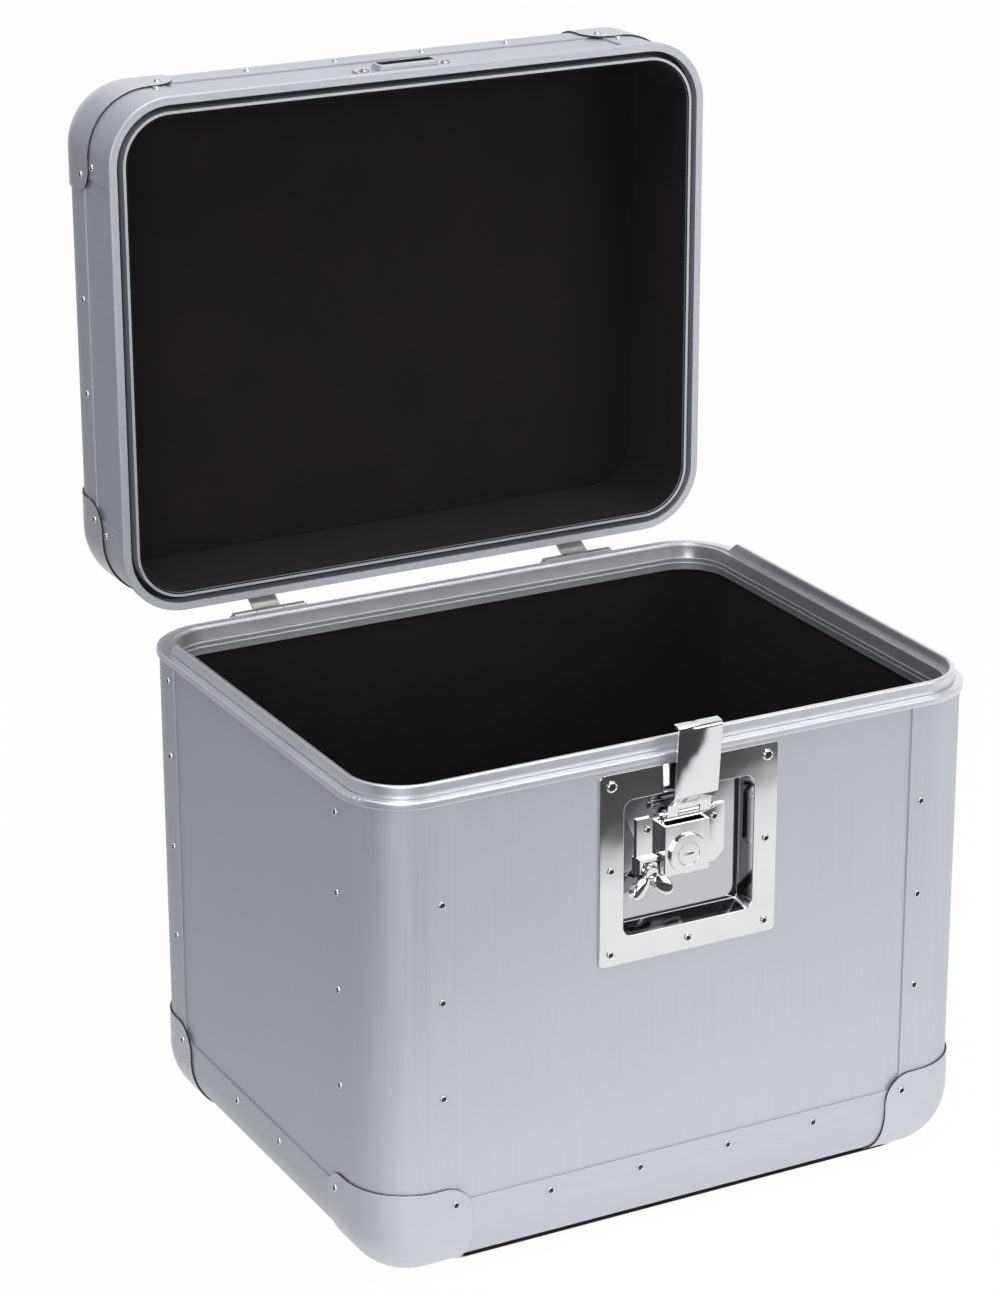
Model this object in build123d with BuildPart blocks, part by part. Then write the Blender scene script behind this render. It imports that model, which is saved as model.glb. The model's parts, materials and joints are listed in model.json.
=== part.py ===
from build123d import *
import os
from math import cos, radians, sin

os.makedirs("parts", exist_ok=True)

# ---------------------------------------------------------------- sizes, millimetres
# The case, over its edge profiles
case_width = 386.0
case_depth = 304.0
base_height = 289.0
lid_height = 92.0

# Quarter-round edge profiles: radius, sheet, and how far a flange reaches from the corner
corner_radius = 37.0
profile_sheet = 1.2
profile_reach = 49.0
channel_lip = 8.0

# Panels, linings and pads
panel_board = 4.0
panel_facing = 1.0
panel_edge_gap = 0.3
lining_board = 2.0
lining_rise = 19.0
floor_pad_top = 36.0
lid_pad_top = 24.0
pad_chamfer = 16.0
pad_gap = 0.3

# Ball corners
cap_reach = 58.5
cap_sheet = 1.2
cap_rounding = 17.0

# Rims of the base and the lid
rim_wall = 1.2
bead_out = 1.6
base_bead = 4.5
lid_bead = 5.0
bead_round = 1.1
tongue_inset = 3.5
tongue_thickness = 3.0
tongue_height = 7.5
tongue_round = 1.2
back_tongue_height = 1.0
tongue_ramp = 8.0
rim_quirk = 0.7
rim_rib = 0.5
rim_rib_height = 1.0
rim_rib_drops = (8.0, 11.0)
groove_outer_gap = 0.2
groove_inner_gap = 0.6
groove_wall = 1.0
gasket_gap = 0.4
gasket_height = 2.1
base_leg = 15.5
lid_leg = 18.0
parting_gap = 0.3

# Blind rivets
rivet_radius = 2.3
rivet_head = 0.8
rivet_taper = 30.0
rivet_sides = 8
rivet_inset = 41.5
rivet_pitch = 57.0
long_rivets = 4
short_rivets = 2
post_rivet_drop = 61.6
side_rivet_drop = 15.0
cap_rivet_inset = 48.0
lid_post_rivet_rise = 30.0

# Stop hinges
hinge_offset = 10.3
hinge_drop = 4.8
hinge_inset = 88.0
hinge_width = 46.0
hinge_leaf = 1.8
hinge_leaf_length = 30.0
hinge_pin_radius = 2.0
hinge_knuckle_wall = 1.6
hinge_knuckle_gap = 0.4
hinge_pin_gap = 0.05
hinge_knuckle_length = 14.0
hinge_leaf_drop = 9.0
hinge_leaf_rise = 14.0
hinge_tail_drop = 14.0
hinge_rivet_spacing = 15.0
stop_gap = 0.3

# Recessed latch: plate, dish and bracket
latch_plate_width = 112.0
latch_plate_height = 113.0
latch_plate_sheet = 1.4
latch_plate_drop = 7.0
latch_plate_round = 3.0
dish_width = 82.0
dish_height = 80.0
dish_depth = 10.5
dish_draft = 18.0
dish_round = 6.0
dish_rise = 17.0
bracket_width = 28.0
bracket_height = 34.0
bracket_rise = 8.5
bracket_sheet = 1.5
bracket_flange = 14.0
bracket_drop = 41.0
crown_cut = 4.3
bracket_chamfer = 6.0

# Latch lock
barrel_radius = 11.4
barrel_drop = 63.0
barrel_length = 6.0
barrel_flange = 0.9
plug_radius = 6.5
plug_gap = 0.05
keyway_width = 1.4
keyway_length = 6.0

# Latch carriage, wing and claw
carriage_sheet = 2.2
carriage_lift_gap = 1.8
slide_gap = 0.1
claw_travel = 3.5
wing_turn = 90.0
wing_offset = 21.0
wing_drop = 72.0
wing_shaft_radius = 2.0
wing_disc_radius = 4.0
yoke_gap = 0.15
yoke_wall = 2.3
wing_hub_radius = 4.6
wing_sheet = 2.4
wing_lobe_width = 8.5
wing_lobe_length = 14.0
wing_lobe_centre = 10.5
wing_lobe_turns = (225.0, 312.0)
claw_width = 27.4
claw_sheet = 1.6
claw_pivot_drop = 38.0
claw_pivot_depth = 1.8
claw_pin_radius = 1.4
claw_knuckle_radius = 2.6
claw_top = 17.5
claw_keeper_gap = 0.6
claw_bend = 2.0
claw_lip = 4.9
claw_lean = 5.5
carriage_knuckle = 13.0
pin_fit = 0.05
running_gap = 0.3
latch_rivet_inset = 7.0

# Strike keeper on the lid
keeper_width = 63.0
keeper_height = 19.0
keeper_rise = 16.0
keeper_sheet = 1.2
keeper_out = 3.6
keeper_boss_width = 42.0
keeper_boss_height = 14.0
keeper_slot_width = 35.0
keeper_slot_height = 8.2
keeper_round = 4.0
keeper_slot_round = 1.5
keeper_draft = 20.0
strike_screw_spacing = 53.0
strike_screw_radius = 3.0
strike_screw_head = 1.6

# Top handle
handle_spacing = 128.0
handle_depth = 46.0
handle_thickness = 11.0
handle_width = 13.0
handle_corner = 16.0
handle_round = 3.0
handle_pin_radius = 2.5
handle_pin_gap = 0.05
handle_standoff = 9.0
handle_side_gap = 0.5
handle_bracket_sheet = 2.5
handle_bracket_foot = 16.0
handle_bracket_width = 24.0

# ---------------------------------------------------------------- derived places
half_width = case_width / 2
half_depth = case_depth / 2
panel_face = profile_sheet
panel_back = panel_face + panel_board
channel_back = panel_back + profile_sheet
lining_face = channel_back + lining_board
panel_edge = corner_radius + profile_sheet + panel_edge_gap
parting_height = base_height - profile_sheet
rim_inner = lining_face + rim_wall
tongue_inner = tongue_inset + tongue_thickness
groove_outer = tongue_inset - groove_outer_gap
groove_inner = tongue_inner + groove_inner_gap
groove_depth = tongue_height + gasket_gap + gasket_height
groove_top = groove_depth + rim_wall

hinge_y = half_depth + hinge_offset
hinge_z = parting_height - hinge_drop
closed_top = parting_height + lid_height

# The base stands on its bottom; the lid is drawn open, turned back a quarter turn about
# the hinge pins. In both frames z runs from the outer face towards the parting plane.
base_frame = Plane(origin=(0, 0, -profile_sheet))
lid_frame = Plane(
    origin=(0, hinge_y + closed_top - hinge_z, hinge_z + hinge_y),
    x_dir=(-1, 0, 0),
    z_dir=(0, -1, 0),
)

# The corners of a shell in order, each with the wall that starts there
corners = [
    (-1, -1, 0, "front", case_width),
    (1, -1, 90, "plus", case_depth),
    (1, 1, 180, "back", case_width),
    (-1, 1, 270, "minus", case_depth),
]


def write(part, name):
    part.label = name
    export_step(part, f"parts/{name}.step")


def side(frame, side_x):
    return "right" if side_x * frame.x_dir.X > 0 else "left"


def wall_name(frame, wall):
    if wall in ("front", "back"):
        return wall
    return side(frame, 1 if wall == "plus" else -1)


def corner_name(frame, side_x, side_y):
    return f"{'front' if side_y < 0 else 'back'}_{side(frame, side_x)}"


def corner_plane(frame, side_x, side_y, turn, height=0.0):
    # x runs along one wall and y along the other, both away from the corner
    spot = Location((side_x * half_width, side_y * half_depth, height), (0, 0, turn))
    return Plane(frame.location * spot)


def wall_plane(frame, side_x, side_y, turn, inset):
    # On the wall that starts at this corner: x along it, y up the shell, z outwards
    corner = corner_plane(frame, side_x, side_y, turn)
    start = corner.from_local_coords(Vector(0, inset, 0))
    return Plane(origin=start, x_dir=corner.x_dir, z_dir=-corner.y_dir)


def slab_outline(inset, mode=Mode.ADD):
    width = case_width - 2 * inset
    RectangleRounded(width, case_depth - 2 * inset, corner_radius - inset, mode=mode)


def ring(frame, outer_inset, inner_inset, start, end, mode=Mode.ADD):
    # An upright band that follows the shell's outline, between two insets
    with BuildSketch(frame.offset(start)) as band:
        slab_outline(outer_inset)
        slab_outline(inner_inset, Mode.SUBTRACT)
    extrude(band.sketch, amount=end - start, mode=mode)


def rounded_loops(builder, frame, inset):
    # The corner arcs at one inset, in order from the outer face to the parting plane
    arcs = builder.edges().filter_by(GeomType.CIRCLE)
    arcs = arcs.filter_by(lambda arc: abs(arc.radius - corner_radius + inset) < 0.01)
    return arcs.sort_by(Axis(frame.origin, frame.z_dir))


# ---------------------------------------------------------------- edge profile section
inner_radius = corner_radius - profile_sheet
with BuildSketch() as sheet_section:
    with BuildLine():
        CenterArc((corner_radius, corner_radius), corner_radius, 180, 90)
        Polyline((corner_radius, 0), (profile_reach, 0), (profile_reach, profile_sheet),
                 (corner_radius, profile_sheet))
        CenterArc((corner_radius, corner_radius), inner_radius, 180, 90)
        Polyline((profile_sheet, corner_radius), (profile_sheet, profile_reach),
                 (0, profile_reach), (0, corner_radius))
    make_face()
with BuildSketch() as profile_section:
    add(sheet_section.sketch)
    for flip in (False, True):
        web = (corner_radius, profile_sheet)
        web_size = (profile_sheet, panel_board + profile_sheet)
        lip = (corner_radius, panel_back)
        lip_size = (profile_sheet + channel_lip, profile_sheet)
        for spot, size in ((web, web_size), (lip, lip_size)):
            place = tuple(reversed(spot)) if flip else spot
            extent = tuple(reversed(size)) if flip else size
            with Locations(place):
                Rectangle(*extent, align=(Align.MIN, Align.MIN))


# ---------------------------------------------------------------- ball corner
def corner_block(skin, reach):
    # A block with the three edges at its outer corner rounded into a ball
    with BuildPart() as block:
        with Locations((-skin, -skin, -skin)):
            Box(reach + skin, reach + skin, reach + skin, align=(Align.MIN,) * 3)
        fillet(block.edges().sort_by_distance((-skin,) * 3)[:3], corner_radius + skin)
    return block


cap_outer = corner_block(cap_sheet, cap_reach)
cap_inner = corner_block(0, 2 * cap_reach)
with BuildPart() as ball_corner:
    add(cap_outer.part)
    fillet(ball_corner.edges().sort_by_distance((cap_reach,) * 3)[:3], cap_rounding)
    add(cap_inner.part, mode=Mode.SUBTRACT)


def cap(frame, side_x, side_y, turn, name):
    spot = corner_plane(frame, side_x, side_y, turn).location
    with BuildPart() as pressed_cap:
        with Locations(spot):
            add(ball_corner.part)
    write(pressed_cap.part, name)


def edge_run(frame, side_x, side_y, turn, span, name):
    # The quarter-round profile along the wall that starts at this corner
    corner = corner_plane(frame, side_x, side_y, turn)
    start = corner.from_local_coords(Vector(profile_reach, 0, 0))
    with BuildPart() as run:
        with BuildSketch(Plane(origin=start, x_dir=corner.y_dir, z_dir=corner.x_dir)):
            add(profile_section.sketch)
        extrude(amount=span - 2 * profile_reach)
    write(run.part, name)


# ---------------------------------------------------------------- latch places
# x across the case, y up from the parting plane, z outwards from the panel's face
front_face = Plane(
    origin=(0, -half_depth + panel_face, parting_height), x_dir=(1, 0, 0), z_dir=(0, -1, 0)
)
dish_centre = -latch_plate_drop - dish_rise - dish_height / 2
dish_floor = latch_plate_sheet - dish_depth
dish_back = dish_floor - latch_plate_sheet
dish_opening_gap = 1.0

# ---------------------------------------------------------------- base shell
post_top = base_height - rim_wall
for side_x, side_y, turn, wall, span in corners:
    corner_label = corner_name(base_frame, side_x, side_y)
    with BuildPart() as corner_post:
        with BuildSketch(corner_plane(base_frame, side_x, side_y, turn, corner_radius)):
            add(profile_section.sketch)
        extrude(amount=post_top - corner_radius)
    write(corner_post.part, f"corner_post_{corner_label}")
    cap(base_frame, side_x, side_y, turn, f"base_cap_{corner_label}")
    wall_label = wall_name(base_frame, wall)
    edge_run(base_frame, side_x, side_y, turn, span, f"bottom_edge_{wall_label}")

    panel_rise = post_top - panel_edge
    with BuildPart() as base_panel:
        with BuildSketch(wall_plane(base_frame, side_x, side_y, turn, panel_face)):
            with Locations((span / 2, panel_edge + panel_rise / 2)):
                Rectangle(span - 2 * panel_edge, panel_rise)
        extrude(amount=-panel_board)
        if wall == "front":
            with BuildSketch(front_face):
                with Locations((0, dish_centre)):
                    Rectangle(dish_width + 2 * dish_opening_gap, dish_height + 2 * dish_opening_gap)
            extrude(amount=-panel_board, mode=Mode.SUBTRACT)
    write(base_panel.part, f"base_{wall_label}_panel")

with BuildPart() as bottom_panel:
    with BuildSketch(Plane.XY):
        Rectangle(case_width - 2 * panel_edge, case_depth - 2 * panel_edge)
    extrude(amount=panel_board)
write(bottom_panel.part, "base_bottom_panel")

with BuildPart() as base_rim:
    ring(base_frame, -bead_out, 0, base_height - base_bead, base_height)
    bead_loops = rounded_loops(base_rim, base_frame, -bead_out)
    fillet((bead_loops[0], bead_loops[-1]), bead_round)
    ring(base_frame, -bead_out / 2, rim_inner, post_top, base_height)
    ring(base_frame, lining_face, rim_inner, base_height - base_leg, base_height)
    ring(base_frame, tongue_inset, tongue_inner, base_height, base_height + tongue_height)
    for inset in (tongue_inset, tongue_inner):
        fillet(rounded_loops(base_rim, base_frame, inset)[-1], tongue_round)
    for drop in rim_rib_drops:
        ring(base_frame, rim_inner, rim_inner + rim_rib, base_height - drop - rim_rib_height,
             base_height - drop)
    ring(base_frame, tongue_inset - rim_quirk, tongue_inset, base_height - rim_quirk, base_height,
         Mode.SUBTRACT)
    # Towards the hinge side the tongue slopes down, so that the lid can swing clear of it
    tongue_low = parting_height + back_tongue_height
    tongue_top = parting_height + tongue_height
    low_start = half_depth - corner_radius
    with BuildSketch(Plane.YZ):
        with BuildLine():
            Polyline((low_start - tongue_ramp, tongue_top), (low_start, tongue_low),
                     (half_depth, tongue_low), (half_depth, tongue_top), close=True)
        make_face()
    extrude(amount=half_width, both=True, mode=Mode.SUBTRACT)
write(base_rim.part, "base_rim")

# ---------------------------------------------------------------- base lining and floor
with BuildPart() as base_lining:
    ring(base_frame, channel_back, lining_face, lining_rise, post_top)
    with BuildSketch(front_face):
        with Locations((0, dish_centre)):
            Rectangle(dish_width + 2 * dish_opening_gap, dish_height + 2 * dish_opening_gap)
    extrude(amount=-lining_face, mode=Mode.SUBTRACT)
write(base_lining.part, "base_wall_lining")


def pad(frame, top, name):
    # A board of stiff foam that fills the rounded edges of a shell up to a flat face
    with BuildPart() as pad_block:
        with BuildSketch(frame.offset(channel_back)) as outline:
            slab_outline(lining_face + pad_gap)
        extrude(outline.sketch, amount=top - channel_back)
        outer_edges = pad_block.faces().sort_by(Axis(frame.origin, frame.z_dir))[0].edges()
        chamfer(outer_edges, pad_chamfer)
    write(pad_block.part, name)


pad(base_frame, floor_pad_top, "base_floor_pad")
# ---------------------------------------------------------------- lid shell
lid_rim_face = lid_height - parting_gap
lid_board_end = lid_height - groove_top
lid_skin_end = lid_rim_face - rim_wall

with BuildPart() as lid_posts:
    for side_x, side_y, turn, wall, span in corners:
        with BuildSketch(corner_plane(lid_frame, side_x, side_y, turn, corner_radius)):
            add(profile_section.sketch)
        extrude(amount=lid_board_end - corner_radius)
        with BuildSketch(corner_plane(lid_frame, side_x, side_y, turn, lid_board_end)):
            add(sheet_section.sketch)
        extrude(amount=lid_skin_end - lid_board_end)
write(lid_posts.part, "lid_corner_posts")

for side_x, side_y, turn, wall, span in corners:
    cap(lid_frame, side_x, side_y, turn, f"lid_cap_{corner_name(lid_frame, side_x, side_y)}")
    wall_label = wall_name(lid_frame, wall)
    edge_run(lid_frame, side_x, side_y, turn, span, f"lid_edge_{wall_label}")

    # The board stops above the rim's groove, and its facing runs on down to the bead
    with BuildPart() as lid_panel:
        for end, thickness in ((lid_board_end, panel_board), (lid_skin_end, panel_facing)):
            with BuildSketch(wall_plane(lid_frame, side_x, side_y, turn, panel_face)):
                with Locations((span / 2, (panel_edge + end) / 2)):
                    Rectangle(span - 2 * panel_edge, end - panel_edge)
            extrude(amount=-thickness)
    write(lid_panel.part, f"lid_{wall_label}_panel")

with BuildPart() as lid_top:
    with BuildSketch(lid_frame.offset(panel_face)):
        Rectangle(case_width - 2 * panel_edge, case_depth - 2 * panel_edge)
    extrude(amount=panel_board)
write(lid_top.part, "lid_top_panel")

with BuildPart() as lid_rim:
    ring(lid_frame, -bead_out, 0, lid_rim_face - lid_bead, lid_rim_face)
    bead_loops = rounded_loops(lid_rim, lid_frame, -bead_out)
    fillet((bead_loops[0], bead_loops[-1]), bead_round)
    ring(lid_frame, -bead_out / 2, groove_outer, lid_skin_end, lid_rim_face)
    ring(lid_frame, groove_outer - groove_wall, groove_outer, lid_board_end, lid_rim_face)
    ring(lid_frame, groove_inner, rim_inner, lid_board_end, lid_rim_face)
    ring(lid_frame, groove_outer - groove_wall, rim_inner, lid_board_end, lid_height - groove_depth)
    ring(lid_frame, lining_face, rim_inner, lid_height - lid_leg, lid_board_end)
write(lid_rim.part, "lid_rim")

with BuildPart() as gasket:
    gasket_face = lid_height - groove_depth + gasket_height
    ring(lid_frame, groove_outer, groove_inner, lid_height - groove_depth, gasket_face)
write(gasket.part, "lid_gasket")

with BuildPart() as lid_lining:
    ring(lid_frame, channel_back, lining_face, lining_rise, lid_board_end)
write(lid_lining.part, "lid_wall_lining")

pad(lid_frame, lid_pad_top, "lid_top_pad")

# ---------------------------------------------------------------- strike keeper on the lid
strike_x, strike_y, strike_turn, strike_wall, strike_span = corners[0]
strike_corner = wall_plane(lid_frame, strike_x, strike_y, strike_turn, panel_face)
keeper_spot = strike_corner.from_local_coords(Vector(case_width / 2, lid_height - keeper_rise, 0))
keeper_plane = Plane(origin=keeper_spot, x_dir=strike_corner.x_dir, z_dir=strike_corner.z_dir)
keeper_face = panel_face + keeper_out

with BuildPart() as keeper:
    with BuildSketch(keeper_plane):
        RectangleRounded(keeper_width, keeper_height, keeper_round)
    extrude(amount=keeper_sheet)
    with BuildSketch(keeper_plane):
        RectangleRounded(keeper_boss_width, keeper_boss_height, keeper_round)
    extrude(amount=keeper_face, taper=keeper_draft)
    with BuildSketch(keeper_plane):
        inner_width = keeper_boss_width - 2 * keeper_sheet
        RectangleRounded(inner_width, keeper_boss_height - 2 * keeper_sheet,
                         keeper_round - keeper_sheet)
    extrude(amount=keeper_face - keeper_sheet, taper=keeper_draft, mode=Mode.SUBTRACT)
    with BuildSketch(keeper_plane):
        RectangleRounded(keeper_slot_width, keeper_slot_height, keeper_slot_round)
    extrude(amount=keeper_face, mode=Mode.SUBTRACT)
write(keeper.part, "strike_keeper")

with BuildPart() as strike_screws:
    with BuildSketch(keeper_plane.offset(keeper_sheet)):
        with GridLocations(strike_screw_spacing, 0, 2, 1):
            Circle(strike_screw_radius)
    extrude(amount=strike_screw_head)
    chamfer(strike_screws.faces().group_by(Axis(keeper_plane.origin, keeper_plane.z_dir))[-1].edges(),
            strike_screw_head / 2)
write(strike_screws.part, "strike_screws")

# ---------------------------------------------------------------- stop hinges
hinge_bore = hinge_pin_radius + hinge_pin_gap
hinge_knuckle = hinge_bore + hinge_knuckle_wall
leaf_centre = hinge_offset + panel_face - hinge_leaf / 2
middle_length = hinge_width - 2 * hinge_knuckle_length - 2 * hinge_knuckle_gap
bead_clear = hinge_offset - bead_out - hinge_leaf


def leaf_strip(*points):
    # A bent strip of leaf sheet, seen along the pin
    with BuildSketch(mode=Mode.PRIVATE) as strip:
        with BuildLine():
            Polyline(*points)
        trace(line_width=hinge_leaf)
    return strip.sketch


def hinge_arm(strips):
    # The strips with the knuckle that they run into, bored for the pin
    with BuildSketch(mode=Mode.PRIVATE) as arm:
        for strip in strips:
            add(strip)
        Circle(hinge_knuckle)
        Circle(hinge_bore, mode=Mode.SUBTRACT)
    return arm.sketch


def raise_along_pin(plane, outline, centre, length):
    with BuildSketch(plane.offset(centre)) as section:
        add(outline)
    extrude(section.sketch, amount=length / 2, both=True)


base_leaf_end = -hinge_leaf_drop - hinge_leaf_length
base_flat = leaf_strip((-leaf_centre, base_leaf_end), (-leaf_centre, -hinge_leaf_drop))
base_bend = leaf_strip((-leaf_centre, -hinge_leaf_drop), (-hinge_bore, -hinge_bore))
lid_leaf_end = hinge_leaf_rise + hinge_leaf_length
lid_flat = leaf_strip((-leaf_centre, lid_leaf_end), (-leaf_centre, hinge_leaf_rise))
lid_bend = leaf_strip((-leaf_centre, hinge_leaf_rise),
                      (-bead_clear, hinge_drop + lid_bead + hinge_leaf / 2),
                      (-hinge_bore, hinge_bore))
# With the lid open this tail lies against the base leaf and stops the lid
tail_reach = leaf_centre - hinge_leaf - stop_gap
lid_tail = leaf_strip((hinge_bore, -hinge_bore * tail_reach / hinge_tail_drop),
                      (hinge_tail_drop, -tail_reach))

knuckle_centre = (hinge_width - hinge_knuckle_length) / 2
hinge_places = (("left", hinge_inset - half_width), ("right", half_width - hinge_inset))
for label, hinge_x in hinge_places:
    base_side = Plane(origin=(hinge_x, hinge_y, hinge_z), x_dir=(0, 1, 0), z_dir=(1, 0, 0))
    with BuildPart() as base_leaf:
        raise_along_pin(base_side, base_flat, 0, hinge_width)
        for centre in (-knuckle_centre, knuckle_centre):
            raise_along_pin(base_side, hinge_arm([base_bend]), centre, hinge_knuckle_length)
    write(base_leaf.part, f"hinge_base_leaf_{label}")

    # The same view, turned with the open lid
    lid_side = Plane(origin=(hinge_x, hinge_y, hinge_z), x_dir=(0, 0, -1), z_dir=(1, 0, 0))
    with BuildPart() as lid_leaf:
        raise_along_pin(lid_side, lid_flat, 0, hinge_width)
        raise_along_pin(lid_side, hinge_arm([lid_bend, lid_tail]), 0, middle_length)
    write(lid_leaf.part, f"hinge_lid_leaf_{label}")

with BuildPart() as hinge_pins:
    for label, hinge_x in hinge_places:
        pin_side = Plane(origin=(hinge_x, hinge_y, hinge_z), z_dir=(1, 0, 0))
        with BuildSketch(pin_side):
            Circle(hinge_pin_radius)
        extrude(amount=hinge_width / 2 + hinge_leaf, both=True)
write(hinge_pins.part, "hinge_pins")

# ---------------------------------------------------------------- carrying handle on the lid
# x across the case, y towards the hinges, z outwards from the lid's top panel
lid_top_face = Plane(
    origin=lid_frame.from_local_coords(Vector(0, 0, panel_face)), x_dir=(1, 0, 0), z_dir=(0, 1, 0)
)
ear_inner = handle_spacing / 2 - handle_bracket_sheet / 2
grip_half = ear_inner - handle_side_gap
eye_radius = handle_width / 2

with BuildPart() as handle_brackets:
    for way in (-1, 1):
        with BuildSketch(lid_top_face):
            foot_centre = way * (ear_inner + handle_bracket_foot / 2)
            with Locations((foot_centre, 0)):
                RectangleRounded(handle_bracket_foot, handle_bracket_width, handle_bracket_sheet)
        extrude(amount=handle_bracket_sheet)
        ear_side = Plane(
            origin=lid_top_face.from_local_coords(Vector(way * ear_inner, 0, 0)),
            x_dir=lid_top_face.y_dir * way, z_dir=lid_top_face.x_dir * way
        )
        with BuildSketch(ear_side):
            with BuildLine():
                ear_half = handle_bracket_width / 2 - handle_bracket_sheet
                Polyline((-eye_radius, handle_standoff), (-ear_half, 0), (ear_half, 0),
                         (eye_radius, handle_standoff))
                ThreePointArc((eye_radius, handle_standoff), (0, handle_standoff + eye_radius),
                              (-eye_radius, handle_standoff))
            make_face()
            with Locations((0, handle_standoff)):
                Circle(handle_pin_radius, mode=Mode.SUBTRACT)
        extrude(amount=handle_bracket_sheet)
write(handle_brackets.part, "handle_brackets")

with BuildPart() as handle_grip:
    with BuildSketch(lid_top_face.offset(handle_standoff - handle_thickness / 2)):
        with Locations((0, handle_depth / 2)):
            Rectangle(2 * grip_half, handle_depth + 2 * eye_radius)
        fillet(vertices().group_by(Axis.Y)[-1], handle_corner)
        with Locations((0, (handle_depth - eye_radius) / 2 - eye_radius)):
            inner_length = handle_depth + eye_radius
            RectangleRounded(2 * grip_half - 2 * handle_width, inner_length, handle_corner - eye_radius,
                             mode=Mode.SUBTRACT)
    extrude(amount=handle_thickness)
    fillet(handle_grip.faces().filter_by(Axis.Y).edges(), handle_round)
    pivot_side = Plane(
        origin=lid_top_face.from_local_coords(Vector(0, 0, handle_standoff)), z_dir=(1, 0, 0)
    )
    with BuildSketch(pivot_side):
        Circle(handle_pin_radius + handle_pin_gap)
    extrude(amount=grip_half, both=True, mode=Mode.SUBTRACT)
write(handle_grip.part, "handle_grip")

with BuildPart() as handle_pins:
    for way in (-1, 1):
        pin_start = Vector(way * (ear_inner + handle_bracket_sheet), 0, handle_standoff)
        pin_side = Plane(
            origin=lid_top_face.from_local_coords(pin_start), z_dir=lid_top_face.x_dir * -way
        )
        with BuildSketch(pin_side):
            Circle(handle_pin_radius)
        extrude(amount=handle_bracket_sheet + handle_side_gap + handle_width - eye_radius)
write(handle_pins.part, "handle_pins")

# ---------------------------------------------------------------- latch plate and dish
plate_centre = -latch_plate_drop - latch_plate_height / 2
dish_mouth = front_face.from_local_coords(Vector(0, dish_centre, latch_plate_sheet))
dish_inwards = Plane(origin=dish_mouth, x_dir=(1, 0, 0), z_dir=(0, 1, 0))
wing_spot = (-wing_offset, -wing_drop)
barrel_spot = (0, -barrel_drop)

with BuildPart() as latch_dish:
    with BuildSketch(front_face):
        with Locations((0, plate_centre)):
            RectangleRounded(latch_plate_width, latch_plate_height, latch_plate_round)
    extrude(amount=latch_plate_sheet)
    with BuildSketch(dish_inwards):
        skin = 2 * latch_plate_sheet
        RectangleRounded(dish_width + skin, dish_height + skin, dish_round + latch_plate_sheet)
    extrude(amount=latch_plate_sheet - dish_back, taper=dish_draft)
    with BuildSketch(dish_inwards):
        RectangleRounded(dish_width, dish_height, dish_round)
    extrude(amount=dish_depth, taper=dish_draft, mode=Mode.SUBTRACT)
    with BuildSketch(front_face):
        with Locations(wing_spot):
            Circle(wing_shaft_radius + pin_fit)
    extrude(amount=dish_back, mode=Mode.SUBTRACT)
write(latch_dish.part, "latch_dish")

# ---------------------------------------------------------------- bracket over the carriage
bracket_half = bracket_width / 2
bracket_inner = bracket_half - bracket_sheet
crown_face = dish_floor + bracket_rise
arm_top = -wing_drop + claw_travel / 2 + wing_disc_radius + yoke_gap + yoke_wall
bracket_end = -bracket_drop - bracket_height
# Seen along the case's height, x across and y outwards
bracket_top = Plane(
    origin=front_face.from_local_coords(Vector(0, -bracket_drop, dish_floor)),
    x_dir=(1, 0, 0), z_dir=(0, 0, 1)
)
with BuildPart() as bracket:
    with BuildSketch(bracket_top):
        with BuildLine():
            Polyline(
                (-bracket_half - bracket_flange, -bracket_sheet / 2),
                (-bracket_half + bracket_sheet / 2, -bracket_sheet / 2),
                (-bracket_half + bracket_sheet / 2, -bracket_rise + bracket_sheet / 2),
                (bracket_half - bracket_sheet / 2, -bracket_rise + bracket_sheet / 2),
                (bracket_half - bracket_sheet / 2, -bracket_sheet / 2),
                (bracket_half + bracket_flange, -bracket_sheet / 2),
            )
        trace(line_width=bracket_sheet)
    extrude(amount=-bracket_height)
    # The crown and its legs stop below the claw's knuckle
    with BuildSketch(front_face.offset(dish_floor + bracket_sheet)):
        with Locations((0, -bracket_drop)):
            Rectangle(bracket_width, crown_cut, align=(Align.CENTER, Align.MAX))
        # The carriage's yoke comes out through the left leg
        with Locations((-bracket_half, bracket_end)):
            window_rise = arm_top + claw_travel / 2 - bracket_end
            Rectangle(bracket_sheet, window_rise, align=(Align.MIN, Align.MIN))
    extrude(amount=bracket_rise - 2 * bracket_sheet, mode=Mode.SUBTRACT)
    with BuildSketch(front_face.offset(dish_floor + bracket_sheet)):
        with Locations((0, -bracket_drop)):
            Rectangle(bracket_width, crown_cut, align=(Align.CENTER, Align.MAX))
    extrude(amount=bracket_rise, mode=Mode.SUBTRACT)
    with BuildSketch(front_face.offset(dish_floor)):
        with Locations(wing_spot):
            Circle(wing_shaft_radius + pin_fit)
    extrude(amount=bracket_sheet, mode=Mode.SUBTRACT)
    with BuildSketch(front_face.offset(crown_face)):
        with Locations(barrel_spot):
            Circle(barrel_radius)
    extrude(amount=-bracket_sheet, mode=Mode.SUBTRACT)
    outer_corner = bracket.edges().filter_by(Axis.Y).group_by(Axis.X)[-1].sort_by(Axis.Z)[0]
    chamfer(outer_corner, bracket_chamfer)
write(bracket.part, "latch_bracket")

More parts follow.
